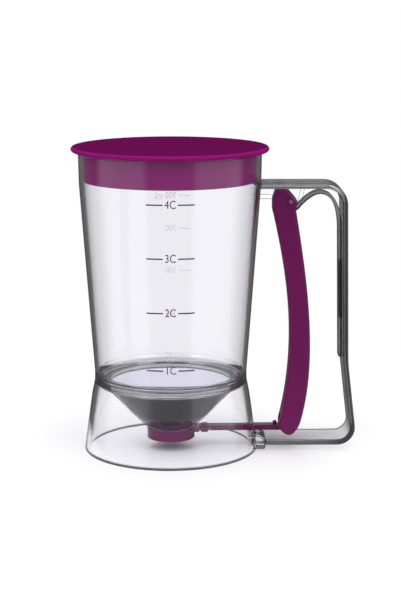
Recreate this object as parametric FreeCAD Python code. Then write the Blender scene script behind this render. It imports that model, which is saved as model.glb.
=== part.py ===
# Pancake batter dispenser: clear jug with a funnel floor, lift-off lid, side
# handle, squeeze trigger and a sliding gate in the outlet cap.
# Millimetres. Z is the jug axis and points up, the base ring stands on Z = 0,
# the handle points along +X, the printed front faces -Y.
import FreeCAD
import Part
import math
import os

V = FreeCAD.Vector

# Driving sizes of the jug
WALL = 2.5
MOUTH_RADIUS = 54.7
MOUTH_HEIGHT = 181.7
BAND_HEIGHT = 163.5
WAIST_RADIUS = 46.2
WAIST_HEIGHT = 43.0
TAPER_FOOT = 54.0
TAPER_FOOT_RADIUS = 47.05
BAND_RADIUS = 54.4
WALL_BEND = 60.0
FLOOR_THICK = 2.3
BASE_RADIUS = 52.8
KNEE_RADIUS = 48.0
KNEE_HEIGHT = 34.5
KNEE_BEND = 30.0
SKIRT_WALL = 2.3
OPENING_RADIUS = 36.8

# Space left where two pieces are glued or moulded together
JOINT_GAP = 0.05

# Driving sizes of the lid
LID_RADIUS = 59.0
LID_THICK = 3.0
LID_TOP = 185.0
PLUG_DEPTH = 17.2
PLUG_GAP = 0.4
PLUG_WALL = 2.0

# Driving sizes of the funnel and outlet
FUNNEL_WALL = 2.2
FUNNEL_SLOPE = 1.048
FUNNEL_FOOT_RADIUS = 15.8
FUNNEL_FOOT = 14.05
BORE_RADIUS = 13.05
CAP_RADIUS = 14.5
CAP_FOOT = 6.4
CAP_SHOULDER = 13.1
CAP_TOP = 14.7
CAP_WALL = 2.1
OUTLET_RADIUS = 5.6
SPOUT_WALL = 1.8
NOTCH_HALF = 4.0
NOTCH_DEEP = 1.3
NOTCH_TURN = -30

# Driving sizes of the handle
STRAP_HALF = 12.5
STRAP_TOP = 163.6
STRAP_THICK = 3.1
STRAP_EDGE = 0.7
STRAP_ROUND = 13.0
TOE_ROUND = 10.7
FLARE_ROUND = 90.0
GRIP_TOP_X = 105.2
FLARE_X = 107.2
FLARE_HEIGHT = 55.0
TOE_X = 113.2
FOOT_BAR_LOW = 3.6
FOOT_BAR_THICK = 3.5
LUG_END = 57.5
LUG_LOW = 0.8
LUG_TOP = 10.2
LUG_ROUND = 1.5

# Driving sizes of the trigger and its pivot
PIVOT_X = 71.5
PIVOT_Z = 152.5
PIVOT_PIN = 1.1
BUSH_RADIUS = 2.4
BUSH_CLEAR = 0.05
PIN_ROUND = 0.5
TRIGGER_HALF = 8.0
TRIGGER_WALL = 2.0
TRIGGER_ROUND = 1.6
CHEEK_GAP = 0.7
CHEEK_THICK = 2.6
CHEEK_DROP = 6.0
CHEEK_REACH = 5.2
FORK_HALF = 3.8

# Driving sizes of the link and gate
BAR_LOW = 10.8
BAR_TOP = 13.9
BAR_HALF = 3.0
BAR_START = 17.4
LINK_Z = 12.3
LINK_PIN = 1.5
LINK_CLEAR = 0.3
LINK_RISE = 1.7
EYE_WALL = 1.7
GATE_HALF = 7.2
GATE_LOW = 10.95
GATE_TOP = 12.45
GATE_END = -9.0
TONGUE_END = 23.6
TONGUE_TOP = 12.0
GATE_CLEAR = 0.15
RIVET_X = 20.5
RIVET_RADIUS = 1.2
RIVET_HEAD = 2.2
KNOB_X = 63.7
KNOB_RADIUS = 1.2
KNOB_SHANK = 0.8
KNOB_TALL = 2.0

# Driving sizes of the leaf spring
SPRING_THICK = 2.0
SPRING_HALF = 4.5
SPRING_END = 57.0
RAIL_LOW = 80.6
RAIL_TOP = 115.8
RAIL_THICK = 1.6
RAIL_GAP = 0.2

# Sizes that follow
GRIP_SLOPE = (FLARE_X - GRIP_TOP_X) / (STRAP_TOP - FLARE_HEIGHT)
FLARE_SLOPE = (TOE_X - FLARE_X) / (FLARE_HEIGHT - FOOT_BAR_LOW)
CHEEK_INNER = TRIGGER_HALF + CHEEK_GAP
CHEEK_OUTER = CHEEK_INNER + CHEEK_THICK
LID_UNDER = LID_TOP - LID_THICK
PLUG_FOOT = LID_UNDER - PLUG_DEPTH
STRAP_UNDER = STRAP_TOP - STRAP_THICK


def rounded(points, closed=True):
    """Edges through (x, z) points; a third number rounds that corner."""
    pts = [V(p[0], 0, p[1]) for p in points]
    radii = [p[2] if len(p) > 2 else 0.0 for p in points]
    count = len(pts)
    starts = []
    ends = []
    arcs = []
    for i in range(count):
        here = pts[i]
        back = pts[i - 1] - here
        ahead = pts[(i + 1) % count] - here
        inside = closed or 0 < i < count - 1
        if radii[i] <= 0 or not inside:
            starts.append(here)
            ends.append(here)
            arcs.append(None)
            continue
        back.normalize()
        ahead.normalize()
        half = back.getAngle(ahead) / 2
        reach = radii[i] / math.tan(half)
        middle = back + ahead
        middle.normalize()
        centre = here + middle * (radii[i] / math.sin(half))
        starts.append(here + back * reach)
        ends.append(here + ahead * reach)
        arcs.append(centre - middle * radii[i])
    edges = []
    for i in range(count):
        if arcs[i] is not None:
            edges.append(Part.Arc(starts[i], arcs[i], ends[i]).toShape())
        follow = (i + 1) % count
        if not closed and follow == 0:
            break
        if (starts[follow] - ends[i]).Length > 1e-6:
            edges.append(Part.LineSegment(ends[i], starts[follow]).toShape())
    return edges


def turned(points):
    """Solid of revolution about the jug axis."""
    face = Part.Face(Part.Wire(rounded(points)))
    return face.revolve(V(0, 0, 0), V(0, 0, 1), 360)


def slab(points, y_low, y_high):
    """Flat shape in the XZ plane made thick along Y."""
    face = Part.Face(Part.Wire(rounded(points)))
    face.translate(V(0, y_low, 0))
    return face.extrude(V(0, y_high - y_low, 0))


def block(x_low, x_high, y_low, y_high, z_low, z_high):
    """Plain box between limits."""
    size = (x_high - x_low, y_high - y_low, z_high - z_low)
    return Part.makeBox(*size, V(x_low, y_low, z_low))


def rod_y(x, z, radius, half):
    """Round rod along Y centred on the XZ plane."""
    return Part.makeCylinder(radius, 2 * half, V(x, -half, z), V(0, 1, 0))


def rod_z(x, y, radius, z_low, z_high):
    """Round upright rod."""
    return Part.makeCylinder(radius, z_high - z_low, V(x, y, z_low))


def side_edges(shape, half):
    """Edges that lie flat in either side face at Y = half or Y = -half."""
    found = []
    for edge in shape.Edges:
        box = edge.BoundBox
        flat = box.YLength < 1e-4
        if flat and abs(abs(box.YMin) - half) < 1e-3:
            found.append(edge)
    return found


def taper_radius(z):
    """Outer radius of the jug's tapered wall at a height."""
    slope = (BAND_RADIUS - TAPER_FOOT_RADIUS) / (BAND_HEIGHT - TAPER_FOOT)
    return TAPER_FOOT_RADIUS + slope * (z - TAPER_FOOT)


def grip_x(z):
    """Outer face of the grip at a height."""
    if z > FLARE_HEIGHT:
        return GRIP_TOP_X + GRIP_SLOPE * (STRAP_TOP - z)
    return FLARE_X + FLARE_SLOPE * (FLARE_HEIGHT - z)


def jug_outer():
    """Outer line of the jug from the shoulder at the waist to the mouth."""
    return [
        (WAIST_RADIUS, WAIST_HEIGHT, 0.4),
        (WAIST_RADIUS, WAIST_HEIGHT + 6.0, 14.0),
        (BAND_RADIUS, BAND_HEIGHT, WALL_BEND),
        (MOUTH_RADIUS, MOUTH_HEIGHT, 0.9),
    ]


def jug_body():
    """Clear vessel with a floor ring round the funnel opening."""
    floor_under = WAIST_HEIGHT - FLOOR_THICK
    spigot = WAIST_RADIUS - SKIRT_WALL - 0.15
    points = jug_outer()
    points += [
        (MOUTH_RADIUS - WALL, MOUTH_HEIGHT, 0.9),
        (BAND_RADIUS - WALL, BAND_HEIGHT, WALL_BEND),
        (WAIST_RADIUS - WALL + 0.5, WAIST_HEIGHT + 5.0, 0),
        (WAIST_RADIUS - WALL + 0.25, WAIST_HEIGHT + 1.3, 6.0),
        (OPENING_RADIUS, WAIST_HEIGHT + 0.9, 0.8),
        (OPENING_RADIUS, floor_under, 0.4),
        (spigot, floor_under, 0.4),
        (spigot, WAIST_HEIGHT, 0),
    ]
    return turned(points)


def funnel():
    """Clear cone under the floor ring that narrows to the outlet bore."""
    top = WAIST_HEIGHT - FLOOR_THICK - 2 * JOINT_GAP
    across = FUNNEL_WALL * math.sqrt(1 + 1 / FUNNEL_SLOPE ** 2)
    rim = FUNNEL_FOOT_RADIUS + (top - FUNNEL_FOOT) / FUNNEL_SLOPE
    bore_top = FUNNEL_FOOT + (BORE_RADIUS + across - FUNNEL_FOOT_RADIUS) * FUNNEL_SLOPE
    points = [
        (FUNNEL_FOOT_RADIUS, FUNNEL_FOOT, 0.5),
        (rim, top, 0.6),
        (rim - across, top, 0),
        (BORE_RADIUS, bore_top, 0.5),
        (BORE_RADIUS, FUNNEL_FOOT, 0),
    ]
    return turned(points)


def base_skirt():
    """Clear flared ring the jug stands on, with a slot for the link bar."""
    points = [
        (BASE_RADIUS, 0, 0.5),
        (KNEE_RADIUS, KNEE_HEIGHT, KNEE_BEND),
        (WAIST_RADIUS + 0.1, WAIST_HEIGHT - 0.1, 0.4),
        (WAIST_RADIUS - SKIRT_WALL, WAIST_HEIGHT - 0.1, 0),
        (KNEE_RADIUS - SKIRT_WALL, KNEE_HEIGHT - 1.0, KNEE_BEND),
        (BASE_RADIUS - SKIRT_WALL, 0, 0.5),
    ]
    ring = turned(points)
    slot = block(40, 60, -BAR_HALF - 0.6, BAR_HALF + 0.6, BAR_LOW - 0.5, BAR_TOP + 0.6)
    return ring.cut(slot)


def lid():
    """Lift-off lid: round-edged disc over a plug ring."""
    edge = LID_THICK / 2 - 0.01
    plug = MOUTH_RADIUS - WALL - PLUG_GAP
    points = [
        (0, LID_TOP),
        (LID_RADIUS, LID_TOP, edge),
        (LID_RADIUS, LID_UNDER, edge),
        (plug, LID_UNDER, 0),
        (plug - 0.3, PLUG_FOOT, 0.7),
        (plug - PLUG_WALL, PLUG_FOOT, 0.7),
        (plug - PLUG_WALL, LID_UNDER, 1.5),
        (0, LID_UNDER),
    ]
    return turned(points)


def strap_outline(inset):
    """Corner points of the handle strap line, moved inward by an inset."""
    shrink = inset / STRAP_THICK if inset else 0
    low = FOOT_BAR_LOW + FOOT_BAR_THICK * shrink
    top = STRAP_TOP - inset
    return [
        (grip_x(top) - inset, top, STRAP_ROUND - inset),
        (grip_x(FLARE_HEIGHT) - inset, FLARE_HEIGHT, FLARE_ROUND),
        (grip_x(low) - inset, low, TOE_ROUND - inset),
    ]


def handle_strap():
    """Clear flat strap: top bar, upright grip and foot bar in one bend."""
    outer = [(40, STRAP_TOP)] + strap_outline(0) + [(LUG_END, FOOT_BAR_LOW)]
    inner = strap_outline(STRAP_THICK)
    inner_low = FOOT_BAR_LOW + FOOT_BAR_THICK
    points = outer + [(LUG_END, inner_low)] + inner[::-1] + [(40, STRAP_UNDER)]
    strap = slab(points, -STRAP_HALF, STRAP_HALF)
    strap = strap.makeFillet(STRAP_EDGE, side_edges(strap, STRAP_HALF))
    vessel = turned(jug_clear())
    return strap.cut(vessel)


def jug_clear():
    """Line just outside the jug, used to trim what is joined to it."""
    return [
        (0, 100),
        (taper_radius(100) + JOINT_GAP, 100),
        (BAND_RADIUS + JOINT_GAP, BAND_HEIGHT, WALL_BEND),
        (MOUTH_RADIUS + JOINT_GAP, MOUTH_HEIGHT),
        (0, MOUTH_HEIGHT),
    ]


def handle_lug():
    """Clear round-ended block that joins the foot bar to the skirt."""
    points = [
        (45, LUG_LOW),
        (LUG_END, LUG_LOW, LUG_ROUND),
        (LUG_END, LUG_TOP, 5.0),
        (45, LUG_TOP),
    ]
    lug = slab(points, -STRAP_HALF, STRAP_HALF)
    outside = [e for e in side_edges(lug, STRAP_HALF) if e.BoundBox.XMax > 50]
    lug = lug.makeFillet(LUG_ROUND, outside)
    outer_cone = [
        (0, 0),
        (BASE_RADIUS + JOINT_GAP, 0),
        (KNEE_RADIUS + JOINT_GAP, KNEE_HEIGHT),
        (0, KNEE_HEIGHT),
    ]
    return lug.cut(turned(outer_cone))


def pivot_cheek(side):
    """Clear plate under the top bar that carries one end of the pivot pin."""
    top = STRAP_UNDER - JOINT_GAP
    points = [
        (50, top),
        (50, STRAP_UNDER - CHEEK_DROP),
        (PIVOT_X - 10.0, STRAP_UNDER - CHEEK_DROP, 4.0),
        (PIVOT_X - CHEEK_REACH, PIVOT_Z - CHEEK_REACH, 4.5),
        (PIVOT_X + CHEEK_REACH, PIVOT_Z - CHEEK_REACH, 4.5),
        (PIVOT_X + 8.0, top, 0),
    ]
    low = min(side * CHEEK_INNER, side * CHEEK_OUTER)
    plate = slab(points, low, low + CHEEK_THICK)
    plate = plate.cut(rod_y(PIVOT_X, PIVOT_Z, PIVOT_PIN, 20))
    return plate.cut(turned(jug_clear()))


def pivot_pin():
    """Round pin across both cheeks with a domed near end."""
    pin = rod_y(PIVOT_X, PIVOT_Z, PIVOT_PIN, CHEEK_OUTER)
    ends = [e for e in pin.Edges if e.BoundBox.YLength < 1e-4]
    return pin.makeFillet(PIN_ROUND, ends)


def pivot_bush():
    """Sleeve pressed into the trigger head round the pivot pin."""
    sleeve = rod_y(PIVOT_X, PIVOT_Z, BUSH_RADIUS, TRIGGER_HALF + JOINT_GAP)
    return sleeve.cut(rod_y(PIVOT_X, PIVOT_Z, PIVOT_PIN + BUSH_CLEAR, 20))


def trigger_line():
    """Side view of the trigger: a long bow with a round foot and a head."""
    left = [(66.0, 16.0), (70.6, 41.5), (72.2, 73.0), (67.8, 116.0), (61.2, 147.0)]
    right = [(75.0, 147.0), (79.8, 117.0), (84.3, 68.0), (82.2, 31.0), (79.2, 17.0)]
    head = [
        (61.2, 147.0),
        (61.2, 153.2, 1.0),
        (63.4, 160.0, 1.0),
        (69.6, 160.0, 5.0),
        (75.6, 152.9, 1.0),
        (75.0, 147.0),
    ]
    bow_left = Part.BSplineCurve()
    bow_left.interpolate([V(x, 0, z) for x, z in left])
    bow_right = Part.BSplineCurve()
    bow_right.interpolate([V(x, 0, z) for x, z in right])
    foot = Part.BSplineCurve()
    foot_points = [V(79.2, 0, 17.0), V(76.9, 0, 11.8), V(72.0, 0, 8.3), V(67.2, 0, 11.2), V(66.0, 0, 16.0)]
    foot.interpolate(Points=foot_points, InitialTangent=V(-0.3, 0, -1), FinalTangent=V(-0.02, 0, 1))
    edges = [bow_left.toShape()] + rounded(head, closed=False)
    edges += [bow_right.toShape(), foot.toShape()]
    return Part.Wire(Part.__sortEdges__(edges))


def trigger():
    """Long finger lever, hollow at the back and forked at the foot."""
    face = Part.Face(trigger_line())
    face.translate(V(0, -TRIGGER_HALF, 0))
    lever = face.extrude(V(0, 2 * TRIGGER_HALF, 0))
    lever = lever.makeFillet(TRIGGER_ROUND, side_edges(lever, TRIGGER_HALF))
    half = TRIGGER_HALF - TRIGGER_WALL
    ribs = [24.0, 48.0, 72.0, 96.0, 120.0, 141.0]
    front = [(66.4, 24.0), (71.0, 48.0), (72.3, 72.0), (70.6, 96.0), (66.9, 120.0), (62.4, 141.0)]
    for i in range(len(ribs) - 1):
        low = ribs[i] + 0.8
        high = ribs[i + 1] - 0.8
        pocket = [
            (front[i][0] + TRIGGER_WALL + 0.8, low, 1.0),
            (front[i + 1][0] + TRIGGER_WALL + 0.8, high, 1.0),
            (95, high),
            (95, low),
        ]
        lever = lever.cut(slab(pocket, -half, half))
    fork = block(55, 90, -FORK_HALF, FORK_HALF, 0, 20.5)
    lever = lever.cut(fork)
    lever = lever.cut(rod_y(PIVOT_X, LINK_Z, LINK_PIN, TRIGGER_HALF - LINK_PIN))
    lever = lever.cut(rod_y(PIVOT_X, PIVOT_Z, BUSH_RADIUS, 20))
    return lever.cut(spring_strip(SPRING_THICK / 2 + 0.3, SPRING_HALF + 0.3))


def link_pin():
    """Round pin across the trigger fork that pulls the link bar."""
    return rod_y(PIVOT_X, LINK_Z, LINK_PIN, TRIGGER_HALF - LINK_PIN - 2 * JOINT_GAP)


def spring_line():
    """Middle line of the leaf spring from the trigger head to the grip."""
    flat = grip_x(134) - STRAP_THICK - SPRING_THICK / 2 - 0.1
    return [
        (74.4, 147.4),
        (79.4, 152.0),
        (83.6, 155.4),
        (88.6, 157.4),
        (93.2, 156.6),
        (97.2, 153.2),
        (99.8, 147.6),
        (flat - 0.4, 141.0),
        (flat, 134.0),
    ]


def spring_side(points, shift):
    """Line beside the middle line at a signed distance."""
    curve = Part.BSplineCurve()
    curve.interpolate([V(x, 0, z) for x, z in points])
    first = curve.FirstParameter
    last = curve.LastParameter
    moved = []
    steps = 16
    for i in range(steps + 1):
        at = first + (last - first) * i / steps
        ahead = curve.tangent(at)[0]
        aside = V(-ahead.z, 0, ahead.x)
        moved.append(curve.value(at) + aside * shift)
    side = Part.BSplineCurve()
    side.interpolate(moved)
    return side, moved[0], moved[-1]


def spring_strip(half_thick, half_wide):
    """Arched strip with a straight tail that lies along the grip."""
    low = SPRING_END
    tail = grip_x(low) - STRAP_THICK - SPRING_THICK / 2 - 0.1
    over, over_start, over_end = spring_side(spring_line(), half_thick)
    under, under_start, under_end = spring_side(spring_line(), -half_thick)
    tail_over = V(tail + half_thick, 0, low)
    tail_under = V(tail - half_thick, 0, low)
    edges = [
        over.toShape(),
        Part.LineSegment(over_end, tail_over).toShape(),
        Part.LineSegment(tail_over, tail_under).toShape(),
        Part.LineSegment(tail_under, under_end).toShape(),
        under.toShape(),
        Part.LineSegment(under_start, over_start).toShape(),
    ]
    face = Part.Face(Part.Wire(Part.__sortEdges__(edges)))
    face.translate(V(0, -half_wide, 0))
    return face.extrude(V(0, 2 * half_wide, 0))


def leaf_spring():
    """Clear leaf spring that pushes the trigger back."""
    return spring_strip(SPRING_THICK / 2, SPRING_HALF)


def spring_rail(side):
    """Clear rail on the grip that keeps the spring tail from shifting."""
    inner = SPRING_HALF + RAIL_GAP
    outer = inner + RAIL_THICK
    points = []
    for z in (RAIL_LOW, RAIL_TOP):
        face = grip_x(z) - STRAP_THICK
        row = [(face - SPRING_THICK + 0.3, z, 0.5), (face - 0.02, z)]
        points += row if z == RAIL_LOW else row[::-1]
    low = min(side * inner, side * outer)
    return slab(points, low, low + RAIL_THICK)


def outlet_cap():
    """Round cap with a gate slot, an outlet hole and a side notch."""
    floor = BAR_LOW - 1.6
    inside = CAP_RADIUS - CAP_WALL
    spigot = BORE_RADIUS - 2 * JOINT_GAP
    spout = OUTLET_RADIUS + SPOUT_WALL
    spout_foot = floor - SPOUT_WALL
    points = [
        (OUTLET_RADIUS, CAP_TOP - 0.6),
        (spigot - 0.6, CAP_TOP, 0.3),
        (spigot, CAP_TOP - 0.6, 0.3),
        (spigot, CAP_SHOULDER),
        (CAP_RADIUS, CAP_SHOULDER, 0.4),
        (CAP_RADIUS, CAP_FOOT, 0.6),
        (inside, CAP_FOOT, 0.4),
        (inside, floor, 0.6),
        (spout, floor, 0.6),
        (spout, spout_foot, 0.3),
        (OUTLET_RADIUS + 0.3, spout_foot, 0.3),
        (OUTLET_RADIUS + 0.3, BAR_LOW),
        (OUTLET_RADIUS, BAR_LOW),
    ]
    cap = turned(points)
    slot_half = GATE_HALF + 2 * GATE_CLEAR
    slot_low = GATE_LOW - GATE_CLEAR
    slot = block(GATE_END - 0.4, 20, -slot_half, slot_half, slot_low, GATE_TOP + GATE_CLEAR)
    cap = cap.cut(slot)
    notch_floor = CAP_RADIUS - NOTCH_DEEP
    notch = block(notch_floor, 20, -NOTCH_HALF, NOTCH_HALF, CAP_FOOT + 0.5, BAR_LOW - 0.5)
    notch.rotate(V(0, 0, 0), V(0, 0, 1), NOTCH_TURN)
    return cap.cut(notch)


def outlet_seal():
    """Soft ring squeezed between the funnel foot and the cap shoulder."""
    points = [
        (BORE_RADIUS + JOINT_GAP, CAP_SHOULDER + JOINT_GAP, 0.2),
        (CAP_RADIUS, CAP_SHOULDER + JOINT_GAP, 0.4),
        (CAP_RADIUS, FUNNEL_FOOT - JOINT_GAP, 0.4),
        (BORE_RADIUS + JOINT_GAP, FUNNEL_FOOT - JOINT_GAP, 0.2),
    ]
    return turned(points)


def gate_plate():
    """Flat gate that covers the outlet hole, with a thin tongue for the bar."""
    plate = block(GATE_END, TONGUE_END, -GATE_HALF, GATE_HALF, GATE_LOW, GATE_TOP)
    corners = [e for e in plate.Edges if e.BoundBox.ZLength > 1 and e.BoundBox.XMax < 0]
    plate = plate.makeFillet(2.0, corners)
    step = block(BAR_START - 0.3, 40, -20, 20, TONGUE_TOP, 20)
    plate = plate.cut(step)
    tongue_half = BAR_HALF + 0.8
    plate = plate.cut(block(BAR_START - 0.3, 40, tongue_half, 20, 0, 20))
    plate = plate.cut(block(BAR_START - 0.3, 40, -20, -tongue_half, 0, 20))
    return plate.cut(rod_z(RIVET_X, 0, RIVET_RADIUS, 0, 20))


def link_bar():
    """Long flat bar from the gate to the trigger with an eye for the pin."""
    bar = block(BAR_START, 70.0, -BAR_HALF, BAR_HALF, BAR_LOW, BAR_TOP)
    bar = bar.cut(block(0, TONGUE_END + 0.3, -20, 20, 0, TONGUE_TOP + JOINT_GAP))
    eye_low = LINK_Z - LINK_PIN - 2.1
    eye_top = LINK_Z + LINK_PIN + LINK_RISE + 2.2
    reach = LINK_PIN + LINK_CLEAR + EYE_WALL
    points = [
        (PIVOT_X - reach, eye_low, 1.5),
        (PIVOT_X + reach, eye_low, 1.5),
        (PIVOT_X + reach, eye_top, 1.5),
        (PIVOT_X - reach, eye_top, 1.5),
    ]
    eye = slab(points, -BAR_HALF, BAR_HALF)
    gap = LINK_PIN + LINK_CLEAR
    slot = [
        (PIVOT_X - gap, LINK_Z - gap - 0.1, 1.5),
        (PIVOT_X + gap, LINK_Z - gap - 0.1, 1.5),
        (PIVOT_X + gap, LINK_Z + gap + LINK_RISE, 1.5),
        (PIVOT_X - gap, LINK_Z + gap + LINK_RISE, 1.5),
    ]
    bar = bar.fuse(eye)
    bar = bar.cut(slab(slot, -20, 20))
    bar = bar.cut(rod_z(RIVET_X, 0, RIVET_RADIUS, 0, 20))
    bar = bar.cut(rod_z(KNOB_X, 0, KNOB_SHANK, BAR_TOP - KNOB_TALL, 20))
    return bar.removeSplitter()


def gate_rivet():
    """Headed pin that clips the gate tongue under the bar."""
    shank = rod_z(RIVET_X, 0, RIVET_RADIUS, GATE_LOW - 0.1, BAR_TOP + 0.1)
    head = rod_z(RIVET_X, 0, RIVET_HEAD, GATE_LOW - 1.5, GATE_LOW - JOINT_GAP)
    top = rod_z(RIVET_X, 0, RIVET_HEAD - 0.3, BAR_TOP + JOINT_GAP, BAR_TOP + 0.9)
    return shank.fuse([head, top]).removeSplitter()


def stop_knob():
    """Small round knob on the bar that stops it against the skirt."""
    shank = rod_z(KNOB_X, 0, KNOB_SHANK, BAR_TOP - KNOB_TALL + 0.1, BAR_TOP + 0.1)
    head = rod_z(KNOB_X, 0, KNOB_RADIUS, BAR_TOP + JOINT_GAP, BAR_TOP + KNOB_TALL)
    rim = [e for e in head.Edges if e.BoundBox.ZMin > BAR_TOP + KNOB_TALL - 0.1]
    head = head.makeFillet(0.5, rim)
    return shank.fuse(head).removeSplitter()


def main():
    """Write one file for every piece."""
    os.makedirs("parts", exist_ok=True)
    pieces = {
        "jug_body": jug_body(),
        "funnel": funnel(),
        "base_skirt": base_skirt(),
        "lid": lid(),
        "handle_strap": handle_strap(),
        "handle_lug": handle_lug(),
        "pivot_cheek_near": pivot_cheek(-1),
        "pivot_cheek_far": pivot_cheek(1),
        "pivot_pin": pivot_pin(),
        "pivot_bush": pivot_bush(),
        "trigger": trigger(),
        "link_pin": link_pin(),
        "leaf_spring": leaf_spring(),
        "spring_rail_near": spring_rail(-1),
        "spring_rail_far": spring_rail(1),
        "outlet_cap": outlet_cap(),
        "outlet_seal": outlet_seal(),
        "gate_plate": gate_plate(),
        "link_bar": link_bar(),
        "gate_rivet": gate_rivet(),
        "stop_knob": stop_knob(),
    }
    for name, shape in pieces.items():
        print(name, shape.isValid(), len(shape.Solids), round(shape.Volume / 1000, 3))
        shape.exportStep("parts/" + name + ".step")


main()
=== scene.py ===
import math

import bpy
import bmesh
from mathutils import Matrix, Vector


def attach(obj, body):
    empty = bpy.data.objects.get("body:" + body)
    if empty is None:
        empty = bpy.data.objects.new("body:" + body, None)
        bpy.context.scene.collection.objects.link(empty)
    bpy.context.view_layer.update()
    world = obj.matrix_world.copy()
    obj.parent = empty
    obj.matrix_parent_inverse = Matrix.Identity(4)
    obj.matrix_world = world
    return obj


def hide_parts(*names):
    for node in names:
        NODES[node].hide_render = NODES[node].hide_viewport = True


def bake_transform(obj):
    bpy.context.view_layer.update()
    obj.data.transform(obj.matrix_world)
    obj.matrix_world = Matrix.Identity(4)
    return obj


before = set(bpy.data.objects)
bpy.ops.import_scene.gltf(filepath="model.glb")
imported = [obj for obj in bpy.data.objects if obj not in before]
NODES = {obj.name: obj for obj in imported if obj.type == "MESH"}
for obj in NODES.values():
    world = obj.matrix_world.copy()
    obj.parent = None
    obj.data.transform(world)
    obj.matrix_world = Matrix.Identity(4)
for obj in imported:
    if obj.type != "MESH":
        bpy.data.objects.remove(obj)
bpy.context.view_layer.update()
MM = 0.001

# Camera fitted to the photograph's ellipses: distance, height, pitch, yaw, focal length in pixels
CAM_DISTANCE = 0.96431
CAM_HEIGHT = 0.28414
CAM_PITCH = 11.314
CAM_YAW = 1.0765
CAM_FOCAL = 1624.64
IMAGE_LONG = 601
SENSOR = 36.0

# The jug's outer wall in mm, as in the CAD
TAPER_FOOT, TAPER_TOP = 54.0, 163.5
TAPER_FOOT_R, TAPER_TOP_R = 47.05, 54.4

# Stretches in metres over which a painted shade, shadow, light or reflection tone sets in: heights,
# and for the strap also X and Y
SKIRT_SHADOW_Z = (0.0008, 0.0017)
FLOOR_RING_SHADE_Z = (0.0442, 0.0470)
PLUG_REFLECTION_Z = (0.1646, 0.1654)
FUNNEL_SHADE_FOOT = (0.0196, 0.0240)
FUNNEL_LIGHT_FOOT = (0.0236, 0.0256)
GRIP_SHADE_X = (0.0960, 0.1035)
TOP_SHADE_Z = (0.120, 0.156)
TOP_SHADE_Y = (-0.0125, 0.0125)

# Painted shade tones that darken the clear pieces, and the plug's painted reflection tone
EDGE_SHADE_TONE = 0.02
STRAP_SHADE_TONE = 0.035
PLUG_REFLECTION_TONE = (0.17, 0.012, 0.10, 1)

PLASTIC_IOR = 1.5


def wall_radius(z):
    """Outer radius in mm of the tapered wall at a height in mm."""
    slope = (TAPER_TOP_R - TAPER_FOOT_R) / (TAPER_TOP - TAPER_FOOT)
    return TAPER_FOOT_R + slope * (z - TAPER_FOOT)


class Graph:
    """Short way to lay out the shader of a material or of the world."""

    def __init__(self, name, tree=None):
        if tree is None:
            self.material = bpy.data.materials.new(name)
            self.material.use_nodes = True
            tree = self.material.node_tree
        self.tree = tree
        tree.nodes.clear()

    def add(self, kind, inputs=None, **props):
        node = self.tree.nodes.new("ShaderNode" + kind)
        for key, value in props.items():
            setattr(node, key, value)
        for key, value in (inputs or {}).items():
            self.put(node, key, value)
        return node

    def put(self, node, key, value):
        socket = node.inputs[key]
        if isinstance(value, bpy.types.NodeSocket):
            self.tree.links.new(value, socket)
        else:
            socket.default_value = value

    def coords(self):
        return self.add("TexCoord").outputs["Object"]

    def height(self):
        return self.add("SeparateXYZ", {0: self.coords()}).outputs["Z"]

    def noise(self, scale, detail=3.0, rough=0.5):
        node = self.add("TexNoise", {
            "Vector": self.coords(), "Scale": scale, "Detail": detail, "Roughness": rough})
        return node.outputs["Fac"]

    def grain(self):
        """Fine moulded grain between 0 and 1."""
        return self.noise(1900.0, 2.0, 0.6)

    def flow(self):
        """Broad flow tone between 0 and 1."""
        return self.spread(self.noise(22.0, 3.0, 0.5), 0.0, 1.0, 0.2, 0.8)

    def spread(self, value, low, high, from_low=0.3, from_high=0.7):
        node = self.add("MapRange", {
            "Value": value, "From Min": from_low, "From Max": from_high,
            "To Min": low, "To Max": high})
        return node.outputs["Result"]

    def ease(self, value, start, end):
        """0 up to the start, 1 from the end on, smooth between."""
        node = self.add("MapRange", {
            "Value": value, "From Min": start, "From Max": end}, interpolation_type="SMOOTHSTEP")
        return node.outputs["Result"]

    def blend(self, factor, a, b):
        """Colour that goes from a to b."""
        node = self.add("Mix", data_type="RGBA")
        self.put(node, 0, factor)
        self.put(node, 6, a)
        self.put(node, 7, b)
        return node.outputs[2]

    def bump(self, height, strength, distance):
        node = self.add("Bump", {"Height": height, "Strength": strength, "Distance": distance})
        return node.outputs["Normal"]

    def math(self, operation, a, b=0.0):
        node = self.add("Math", operation=operation)
        self.put(node, 0, a)
        self.put(node, 1, b)
        return node.outputs[0]

    def mix(self, factor, first, second):
        """Shader that goes from the first to the second."""
        node = self.add("MixShader", {0: factor, 1: first.outputs[0], 2: second.outputs[0]})
        return node.outputs[0]

    def out(self, shader):
        node = self.add("OutputMaterial")
        self.tree.links.new(shader, node.inputs["Surface"])
        return self.material


def glossy_plastic(name, deep, light, rough=0.26, specular=0.25):
    """Coloured moulded plastic: faint flow tone, fine grain, uneven gloss."""
    g = Graph(name)
    shader = g.add("BsdfPrincipled", {
        "Base Color": g.blend(g.flow(), (*deep, 1), (*light, 1)), "IOR": PLASTIC_IOR,
        "Specular IOR Level": specular,
        "Roughness": g.spread(g.noise(120.0, 5.0, 0.65), rough * 0.94, rough * 1.08),
        "Normal": g.bump(g.grain(), 0.08, 0.00001)})
    return g.out(shader.outputs[0])


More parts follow.
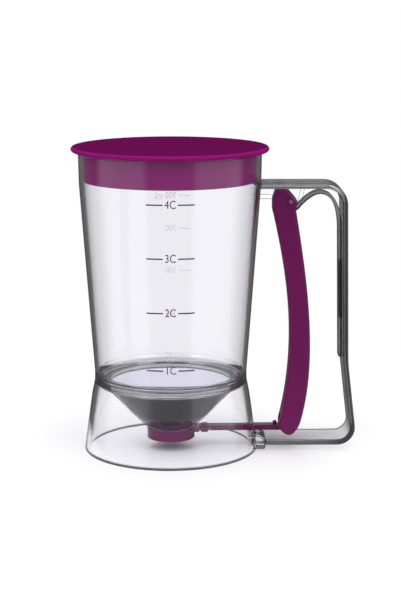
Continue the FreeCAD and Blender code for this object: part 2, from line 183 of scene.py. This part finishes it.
def lid_plastic(name):
    """Lid: painted shade, a deep tone on the disc's upward flat face; painted highlight, a brighter
    lip and plug ring; fine grain.
    """
    g = Graph(name)
    upward = g.add("SeparateXYZ", {0: g.add("TexCoord").outputs["Normal"]}).outputs["Z"]
    # Painted shade on the upward face, painted highlight on the lip and plug ring
    face = g.spread(upward, 0.0, 1.0, 0.90, 0.995)
    flow = g.flow()
    lip = g.blend(flow, (0.225, 0.0080, 0.135, 1), (0.240, 0.0095, 0.147, 1))
    top = g.blend(flow, (0.096, 0.0034, 0.055, 1), (0.101, 0.0038, 0.059, 1))
    shader = g.add("BsdfPrincipled", {
        "Base Color": g.blend(face, lip, top), "IOR": PLASTIC_IOR, "Specular IOR Level": 0.0,
        "Roughness": g.spread(g.noise(120.0, 5.0, 0.65), 0.42, 0.5),
        "Normal": g.bump(g.grain(), 0.10, 0.00001)})
    return g.out(shader.outputs[0])


def light_through(g, shader, tint):
    """Lets shadow and diffuse rays pass, so that light reaches what is behind."""
    path = g.add("LightPath")
    passing = g.math("MAXIMUM", path.outputs["Is Shadow Ray"], path.outputs["Is Diffuse Ray"])
    straight = g.add("BsdfTransparent", {"Color": (*tint, 1)})
    both = g.add("MixShader", {0: passing, 1: shader, 2: straight.outputs[0]})
    return g.out(both.outputs[0])


def grey(level):
    """Opaque grey with a slight cool cast."""
    return (level, level, level * 1.04, 1)


def facing_edge(g, start, end):
    """0 where the surface is seen straight on, 1 where it is seen edge-on."""
    edge = g.add("LayerWeight", {"Blend": 0.5}).outputs["Facing"]
    return g.spread(edge, 0.0, 1.0, start, end)


def clear_plastic(name, tint, rough=0.02, ior=1.52, edge_shade=0.45, edge_from=0.72, depth=0.0, shape=None):
    """Clear moulded plastic: slight waviness, uneven polish, and painted shade edge-on, a dark
    opaque tone mixed in.
    """
    g = Graph(name)
    polish = g.spread(g.noise(90.0, 4.0, 0.6), rough * 0.4, rough * 1.6)
    edge = facing_edge(g, edge_from, edge_from + 0.16)
    uneven = g.spread(g.noise(14.0, 2.0), 0.0, 1.0)
    tone = g.blend(uneven, (*tint, 1), (*[c * 0.992 for c in tint], 1))
    # Painted shade: a dark opaque tone, mixed in where the surface is seen edge-on
    dark = g.math("MULTIPLY", edge, edge_shade)
    shade_tone = grey(EDGE_SHADE_TONE)
    if shape is not None:
        dark, shade_tone = shape(g, dark)
    glass = g.add("BsdfPrincipled", {
        "Base Color": tone, "Roughness": polish, "IOR": ior, "Transmission Weight": 1.0,
        "Normal": g.bump(g.noise(26.0, 2.0, 0.5), 0.05, 0.0002)})
    body = g.add("BsdfPrincipled", {
        "Base Color": shade_tone, "Roughness": 0.4, "Specular IOR Level": 0.1})
    deep = g.math("MAXIMUM", dark, depth)
    return light_through(g, g.mix(deep, glass, body), tint)


def skirt_contact_shadow(g, dark):
    """Skirt: painted contact shadow, a dark line along the edge that stands on the table."""
    # Painted contact shadow at the foot
    foot = g.spread(g.height(), 0.75, 0.0, *SKIRT_SHADOW_Z)
    return g.math("MAXIMUM", dark, foot), grey(EDGE_SHADE_TONE)


def jug_shade_and_reflection(g, dark):
    """Jug: painted shade, grey in the wall below the floor ring's top, and above it a painted
    reflection of the plug's colour in the edge tone.
    """
    height = g.height()
    # Painted shade below the floor ring's top, painted reflection of the plug above
    ring = g.spread(height, 0.30, 0.0, *FLOOR_RING_SHADE_Z)
    plug_reflection = g.spread(height, 0.0, 1.0, *PLUG_REFLECTION_Z)
    return g.math("MAXIMUM", dark, ring), g.blend(plug_reflection, grey(EDGE_SHADE_TONE), PLUG_REFLECTION_TONE)


def strap_painted_shade(g, dark):
    """Handle strap: painted shade on the rounded edges, the grip side and the top face, the top
    darker towards the front.
    """
    spot = g.add("SeparateXYZ", {0: g.coords()})
    normal = g.add("SeparateXYZ", {0: g.add("TexCoord").outputs["Normal"]})
    aside = g.math("ABSOLUTE", normal.outputs["Y"])
    upward = g.math("ABSOLUTE", normal.outputs["Z"])
    flat_side = g.spread(aside, 0.0, 1.0, 0.93, 0.99)
    flat_top = g.spread(upward, 0.0, 1.0, 0.55, 0.95)
    slanted = g.spread(aside, 0.0, 1.0, 0.08, 0.30)
    bevel_shade = g.math("MULTIPLY", slanted, g.math("SUBTRACT", 1.0, flat_side))
    bevel_shade = g.math("MULTIPLY", bevel_shade, 0.72)
    # Painted shade on the grip side and on the top face
    grip = g.math("MULTIPLY", flat_side, g.spread(spot.outputs["X"], 0.0, 0.62, *GRIP_SHADE_X))
    high = g.spread(spot.outputs["Z"], 0.0, 1.0, *TOP_SHADE_Z)
    near = g.spread(spot.outputs["Y"], 0.70, 0.25, *TOP_SHADE_Y)
    top = g.math("MULTIPLY", g.math("MULTIPLY", flat_top, high), near)
    dark = g.math("MAXIMUM", g.math("MAXIMUM", dark, bevel_shade), g.math("MAXIMUM", grip, top))
    return dark, grey(STRAP_SHADE_TONE)


def funnel_shade_plastic(name):
    """Outer face of the funnel: painted shade in dark grey, a paler painted reflection edge-on,
    clear at the foot.
    """
    g = Graph(name)
    tone = g.blend(facing_edge(g, 0.30, 0.92), grey(0.006), grey(0.11))
    tone = g.blend(g.spread(g.noise(30.0, 3.0), 0.0, 0.12), tone, grey(0.04))
    skin = g.add("BsdfPrincipled", {
        "Base Color": tone, "IOR": PLASTIC_IOR, "Specular IOR Level": 0.05,
        "Roughness": g.spread(g.noise(110.0, 4.0), 0.16, 0.24)})
    straight = g.add("BsdfTransparent", {"Color": (0.80, 0.79, 0.83, 1)})
    foot = g.spread(g.height(), 0.92, 0.0, *FUNNEL_SHADE_FOOT)
    return light_through(g, g.mix(foot, skin, straight), (0.96, 0.96, 0.97))


def funnel_light_plastic(name, deep, light):
    """Inner face of the funnel in painted light, a pale satin tone, clear again at the foot."""
    g = Graph(name)
    tone = g.blend(g.spread(g.noise(30.0, 3.0), 0.0, 1.0), (*deep, 1), (*light, 1))
    skin = g.add("BsdfPrincipled", {
        "Base Color": tone, "IOR": PLASTIC_IOR, "Specular IOR Level": 0.1,
        "Roughness": g.spread(g.noise(110.0, 4.0), 0.25, 0.35)})
    straight = g.add("BsdfTransparent", {"Color": (0.97, 0.97, 0.98, 1)})
    foot = g.spread(g.height(), 1.0, 0.0, *FUNNEL_LIGHT_FOOT)
    return light_through(g, g.mix(foot, skin, straight), (0.97, 0.97, 0.98))


def ink(name, colour, pale, cover=1.0):
    """Screen-printed ink with a slightly uneven film that covers in part."""
    g = Graph(name)
    film = g.spread(g.noise(900.0, 4.0, 0.7), 0.0, 1.0)
    shader = g.add("BsdfPrincipled", {
        "Base Color": g.blend(film, (*colour, 1), (*pale, 1)),
        "Roughness": g.spread(g.noise(400.0), 0.35, 0.6), "Specular IOR Level": 0.1,
        "Normal": g.bump(g.noise(2500.0), 0.2, 0.00002)})
    gaps = g.add("BsdfTransparent")
    thin = g.spread(film, cover * 0.96, cover, 0.0, 1.0)
    return g.out(g.mix(thin, gaps, shader))


PURPLE = glossy_plastic(
    "purple_plastic", (0.122, 0.0050, 0.072), (0.132, 0.0060, 0.080), 0.30, 0.2)
LID_PURPLE = lid_plastic("lid_purple_plastic")
DARK_PURPLE = glossy_plastic("dark_purple_plastic", (0.080, 0.0042, 0.046), (0.092, 0.0052, 0.056))
# Painted highlight: the pivot pin in a paler purple than the plastic round it
PIN_HIGHLIGHT = glossy_plastic("pale_pin_plastic", (0.20, 0.09, 0.16), (0.25, 0.13, 0.20), 0.3)
CLEAR = clear_plastic(
    "clear_plastic", (0.973, 0.973, 1.0), edge_shade=0.66, edge_from=0.75, shape=jug_shade_and_reflection)
SKIRT_CLEAR = clear_plastic(
    "clear_plastic_foot", (0.984, 0.984, 0.999), edge_shade=0.74, edge_from=0.73, shape=skirt_contact_shadow)
HANDLE_CLEAR = clear_plastic(
    "clear_plastic_handle", (0.90, 0.90, 0.91), edge_shade=0.5, shape=strap_painted_shade)
SPRING_CLEAR = clear_plastic("clear_plastic_spring", (0.50, 0.50, 0.52), edge_shade=0.7, depth=0.40)
CHEEK_CLEAR = clear_plastic("clear_plastic_cheek", (0.985, 0.985, 0.995), ior=1.14, edge_shade=0.1)
FUNNEL_SHADE = funnel_shade_plastic("funnel_painted_shade")
FUNNEL_LIGHT = funnel_light_plastic("funnel_painted_light", (0.80, 0.80, 0.86), (0.84, 0.84, 0.90))
SEAL = clear_plastic("soft_seal", (0.80, 0.80, 0.83), 0.35, 1.41)
INK = ink("purple_ink", (0.110, 0.0015, 0.065), (0.125, 0.003, 0.078))
GREY_INK = ink("grey_ink", (0.70, 0.70, 0.72), (0.78, 0.78, 0.80), 0.5)

FINISH = {
    "jug_body": CLEAR, "funnel": CLEAR, "base_skirt": SKIRT_CLEAR, "handle_strap": HANDLE_CLEAR,
    "handle_lug": HANDLE_CLEAR, "pivot_cheek_near": CHEEK_CLEAR, "pivot_cheek_far": CHEEK_CLEAR,
    "spring_rail_near": SPRING_CLEAR, "spring_rail_far": SPRING_CLEAR,
    "lid": LID_PURPLE, "trigger": PURPLE, "outlet_cap": PURPLE, "gate_plate": PURPLE,
    "link_bar": DARK_PURPLE, "stop_knob": DARK_PURPLE, "gate_rivet": DARK_PURPLE,
    "pivot_pin": PIN_HIGHLIGHT, "link_pin": PURPLE, "pivot_bush": PURPLE,
    "outlet_seal": SEAL,
}
for node, material in FINISH.items():
    NODES[node].data.materials[0] = material


def add_mesh(name, data, material):
    """Object of that mesh and material in the scene."""
    piece = bpy.data.objects.new(name, data)
    bpy.context.scene.collection.objects.link(piece)
    data.materials.clear()
    data.materials.append(material)
    return piece


# The leaf spring, which bends in use between the grip, where it stands still, and the trigger's
# head: a copy of its node in the clear spring finish, the node hidden
spring = add_mesh("leaf_spring_strip", NODES["leaf_spring"].data.copy(), SPRING_CLEAR)
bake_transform(spring)
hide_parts("leaf_spring")

# Facets round the funnel's skins, and the angle in degrees from which an edge stays sharp
TURNS = 128
SHARP_FROM = 30


def lathed(name, points, material, body):
    """Closed ring turned about the jug axis from (radius, height) points in mm."""
    bm = bmesh.new()
    rings = []
    for radius, z in points:
        ring = []
        for i in range(TURNS):
            angle = 2 * math.pi * i / TURNS
            x, y = radius * math.cos(angle), radius * math.sin(angle)
            ring.append(bm.verts.new((x * MM, y * MM, z * MM)))
        rings.append(ring)
    for k in range(len(rings)):
        low, up = rings[k], rings[(k + 1) % len(rings)]
        for i in range(TURNS):
            j = (i + 1) % TURNS
            face = bm.faces.new((low[i], low[j], up[j], up[i]))
            face.smooth = True
    bmesh.ops.recalc_face_normals(bm, faces=bm.faces)
    data = bpy.data.meshes.new(name)
    bm.to_mesh(data)
    bm.free()
    data.set_sharp_from_angle(angle=math.radians(SHARP_FROM))
    piece = add_mesh(name, data, material)
    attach(piece, body)
    return piece


# The funnel wall in two skins, in mm: painted shade outside, painted light inside
CONE_SLOPE = 1.048
CONE_WALL = 2.2
FOOT_R, FOOT_Z, CONE_TOP = 15.8, 14.05, 40.6
BORE_R = 13.05
CONE_RIM = FOOT_R + (CONE_TOP - FOOT_Z) / CONE_SLOPE
ACROSS = CONE_WALL * math.sqrt(1 + 1 / CONE_SLOPE ** 2)
BORE_TOP = FOOT_Z + (BORE_R + ACROSS - FOOT_R) * CONE_SLOPE
OUTER_TO = 1.1
INNER_FROM = 1.5
outer_skin = lathed("funnel_outer_skin", [
    (FOOT_R, FOOT_Z), (CONE_RIM, CONE_TOP),
    (CONE_RIM - OUTER_TO, CONE_TOP), (FOOT_R - OUTER_TO, FOOT_Z)],
    FUNNEL_SHADE, "jug")
inner_skin = lathed("funnel_inner_skin", [
    (CONE_RIM - INNER_FROM, CONE_TOP), (CONE_RIM - ACROSS, CONE_TOP),
    (BORE_R, BORE_TOP), (BORE_R, FOOT_Z), (FOOT_R - INNER_FROM, FOOT_Z)],
    FUNNEL_LIGHT, "jug")
for skin in (outer_skin, inner_skin):
    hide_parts("funnel")

# The printed marks in mm: their lift off the wall, capitals, dashes and heights
INK_LIFT = 0.03
FONT_PER_CAPITAL = 1.39
DASH_STEPS = 12
CUP_CAPITAL, CUP_STRETCH = 4.9, 0.82
CUP_DASH, CUP_DASH_X = (9.7, 0.80), 9.2
CUP_MARKS = [("4C", 156.8), ("3C", 125.5), ("2C", 93.4), ("1C", 58.8)]
BACK_CAPITAL, BACK_STRETCH, BACK_X = 3.9, 0.9, -4.0
BACK_DASH, BACK_DASH_X = (7.8, 0.5), -9.5
BACK_MARKS = [("900 mL", 148.3), ("700", 128.0), ("500", 101.4), ("300", 73.5), ("100", 46.6)]


def wrapped(name, data, x_mm, z_mm, front, material):
    """Lays a flat mesh, drawn in mm, on the outer wall at a height."""
    side = -1 if front else 1
    for v in data.vertices:
        z = z_mm + v.co.y
        radius = wall_radius(z) + INK_LIFT
        angle = (x_mm + v.co.x) / radius
        across = -side * radius * math.sin(angle)
        v.co = Vector((across * MM, side * radius * math.cos(angle) * MM, z * MM))
    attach(add_mesh(name, data, material), "jug")


def text_mesh(words, height_mm, stretch, align="CENTER"):
    """Flat mesh of words in mm, capitals that high, at the origin."""
    curve = bpy.data.curves.new("words", "FONT")
    curve.body = words
    curve.align_x = align
    curve.align_y = "CENTER"
    curve.size = height_mm * FONT_PER_CAPITAL
    curve.resolution_u = 6
    holder = bpy.data.objects.new("words", curve)
    bpy.context.scene.collection.objects.link(holder)
    bpy.context.view_layer.update()
    data = bpy.data.meshes.new_from_object(holder)
    bpy.data.objects.remove(holder)
    for v in data.vertices:
        v.co.x *= stretch
    return data


def dash_mesh(length, thick):
    """Flat dash in mm along X, cut fine enough to wrap."""
    bm = bmesh.new()
    rows = []
    for i in range(DASH_STEPS + 1):
        x = -length / 2 + length * i / DASH_STEPS
        low = bm.verts.new((x, -thick / 2, 0))
        high = bm.verts.new((x, thick / 2, 0))
        rows.append((low, high))
    for a, b in zip(rows, rows[1:]):
        bm.faces.new((a[0], b[0], b[1], a[1]))
    data = bpy.data.meshes.new("dash")
    bm.to_mesh(data)
    bm.free()
    return data


for words, z in CUP_MARKS:
    wrapped(f"mark_{words}", text_mesh(words, CUP_CAPITAL, CUP_STRETCH), 0.0, z, True, INK)
    for side, place in ((-1, "left"), (1, "right")):
        wrapped(f"mark_{words}_{place}", dash_mesh(*CUP_DASH), side * CUP_DASH_X, z, True, INK)

for words, z in BACK_MARKS:
    label = words.replace(" ", "_")
    data = text_mesh(words, BACK_CAPITAL, BACK_STRETCH, "LEFT")
    wrapped(f"back_{label}", data, BACK_X, z, False, GREY_INK)
    wrapped(f"back_{label}_dash", dash_mesh(*BACK_DASH), BACK_DASH_X, z, False, GREY_INK)

# The floor fades into the white round the object and isn't seen from below.
# Reflections keep only its middle.
FLOOR_REACH = 2.0
FLOOR_FADE = (0.17, 0.36)
FLOOR_MIRRORED = (0.07, 0.12)
PAPER, PAPER_PALE = (0.855, 0.855, 0.855, 1), (0.87, 0.87, 0.87, 1)
floor_mesh = bpy.data.meshes.new("floor")
bm = bmesh.new()
bmesh.ops.create_grid(bm, x_segments=2, y_segments=2, size=FLOOR_REACH)
bm.to_mesh(floor_mesh)
bm.free()
g = Graph("floor_white")
away = g.add("VectorMath", {0: g.coords()}, operation="LENGTH").outputs["Value"]
mirrored = g.math(
    "MULTIPLY", g.add("LightPath").outputs["Is Glossy Ray"], g.ease(away, *FLOOR_MIRRORED))
hidden = g.math("MAXIMUM", g.ease(away, *FLOOR_FADE), mirrored)
hidden = g.math("MAXIMUM", hidden, g.add("NewGeometry").outputs["Backfacing"])
paper = g.blend(g.noise(300.0, 4.0), PAPER, PAPER_PALE)
matt = g.add("BsdfPrincipled", {"Base Color": paper, "Roughness": 0.75, "Specular IOR Level": 0.2})
floor = add_mesh("floor", floor_mesh, g.out(g.mix(hidden, matt, g.add("BsdfTransparent"))))

# Studio light: white to the eye, soft greys in reflections
world = bpy.data.worlds.new("studio")
bpy.context.scene.world = world
world.use_nodes = True
w = Graph("studio", world.node_tree)
split = w.add("SeparateXYZ", {0: w.add("TexCoord").outputs["Generated"]})
turn = w.math("ARCTAN2", split.outputs["X"], w.math("MULTIPLY", split.outputs["Y"], -1.0))
turn = w.math("DIVIDE", w.math("ABSOLUTE", turn), math.pi)
rise = w.math("DIVIDE", w.math("ARCSINE", split.outputs["Z"]), math.pi / 2)


def ramp(value, stops):
    """Grey levels along a value between 0 and 1."""
    node = w.add("ValToRGB", {"Fac": value})
    marks = node.color_ramp.elements
    marks[0].position, marks[1].position = stops[0][0], stops[-1][0]
    marks[0].color, marks[1].color = [(*[level] * 3, 1) for level in (stops[0][1], stops[-1][1])]
    for position, level in stops[1:-1]:
        marks.new(position).color = (level, level, level, 1)
    return node.outputs["Color"]


# Grey levels round the object: 0 is the front, 0.5 the sides, 1 the back
AROUND = [(0.0, 0.28), (0.15, 0.28), (0.20, 0.72), (0.52, 0.72), (0.60, 0.12), (1.0, 0.14)]
OVERHEAD_FROM, OVERHEAD_FULL = 0.45, 0.62
OVERHEAD = (1.2, 1.2, 1.2, 1)
high_up = w.ease(rise, OVERHEAD_FROM, OVERHEAD_FULL)
sky = w.blend(high_up, ramp(turn, AROUND), OVERHEAD)
path = w.add("LightPath")
unreflected = w.math("LESS_THAN", path.outputs["Glossy Depth"], 0.5)
through = w.math("MULTIPLY", path.outputs["Is Transmission Ray"], unreflected)
eye = w.math("MAXIMUM", path.outputs["Is Camera Ray"], through)
shown = w.blend(eye, sky, (1.0, 1.0, 1.0, 1))
back = w.add("Background", {"Color": shown, "Strength": 1.0})
end = w.add("OutputWorld")
w.tree.links.new(back.outputs[0], end.inputs["Surface"])


def area_light(name, place, aim, size, power):
    """Soft rectangular lamp, in metres and watts, that the camera doesn't see."""
    data = bpy.data.lights.new(name, "AREA")
    data.shape = "RECTANGLE"
    data.size, data.size_y = size
    data.energy = power
    lamp = bpy.data.objects.new(name, data)
    bpy.context.scene.collection.objects.link(lamp)
    lamp.location = place
    lamp.rotation_euler = (Vector(aim) - Vector(place)).to_track_quat("-Z", "Y").to_euler()
    lamp.visible_camera = False


area_light("top_soft", (0.0, -0.1, 1.3), (0, 0, 0.05), (1.2, 1.0), 4.7)
area_light("back_soft", (0.0, 1.1, 0.8), (0, 0, 0.08), (1.0, 0.8), 4.0)
area_light("left_soft", (-0.9, -0.9, 0.9), (0, 0, 0.08), (0.8, 0.8), 6.0)
area_light("right_soft", (0.9, -0.9, 0.9), (0, 0, 0.08), (0.8, 0.8), 6.0)

# Camera at the photograph's angle
camera_data = bpy.data.cameras.new("camera")
camera = bpy.data.objects.new("camera", camera_data)
bpy.context.scene.collection.objects.link(camera)
camera_data.sensor_width = SENSOR
camera_data.lens = CAM_FOCAL * SENSOR / IMAGE_LONG
camera_data.clip_end = 20.0
camera.location = (0.0, -CAM_DISTANCE, CAM_HEIGHT)
camera.rotation_euler = (math.radians(90 - CAM_PITCH), 0, math.radians(-CAM_YAW))
bpy.context.scene.camera = camera
bpy.context.scene.view_settings.view_transform = "Standard"
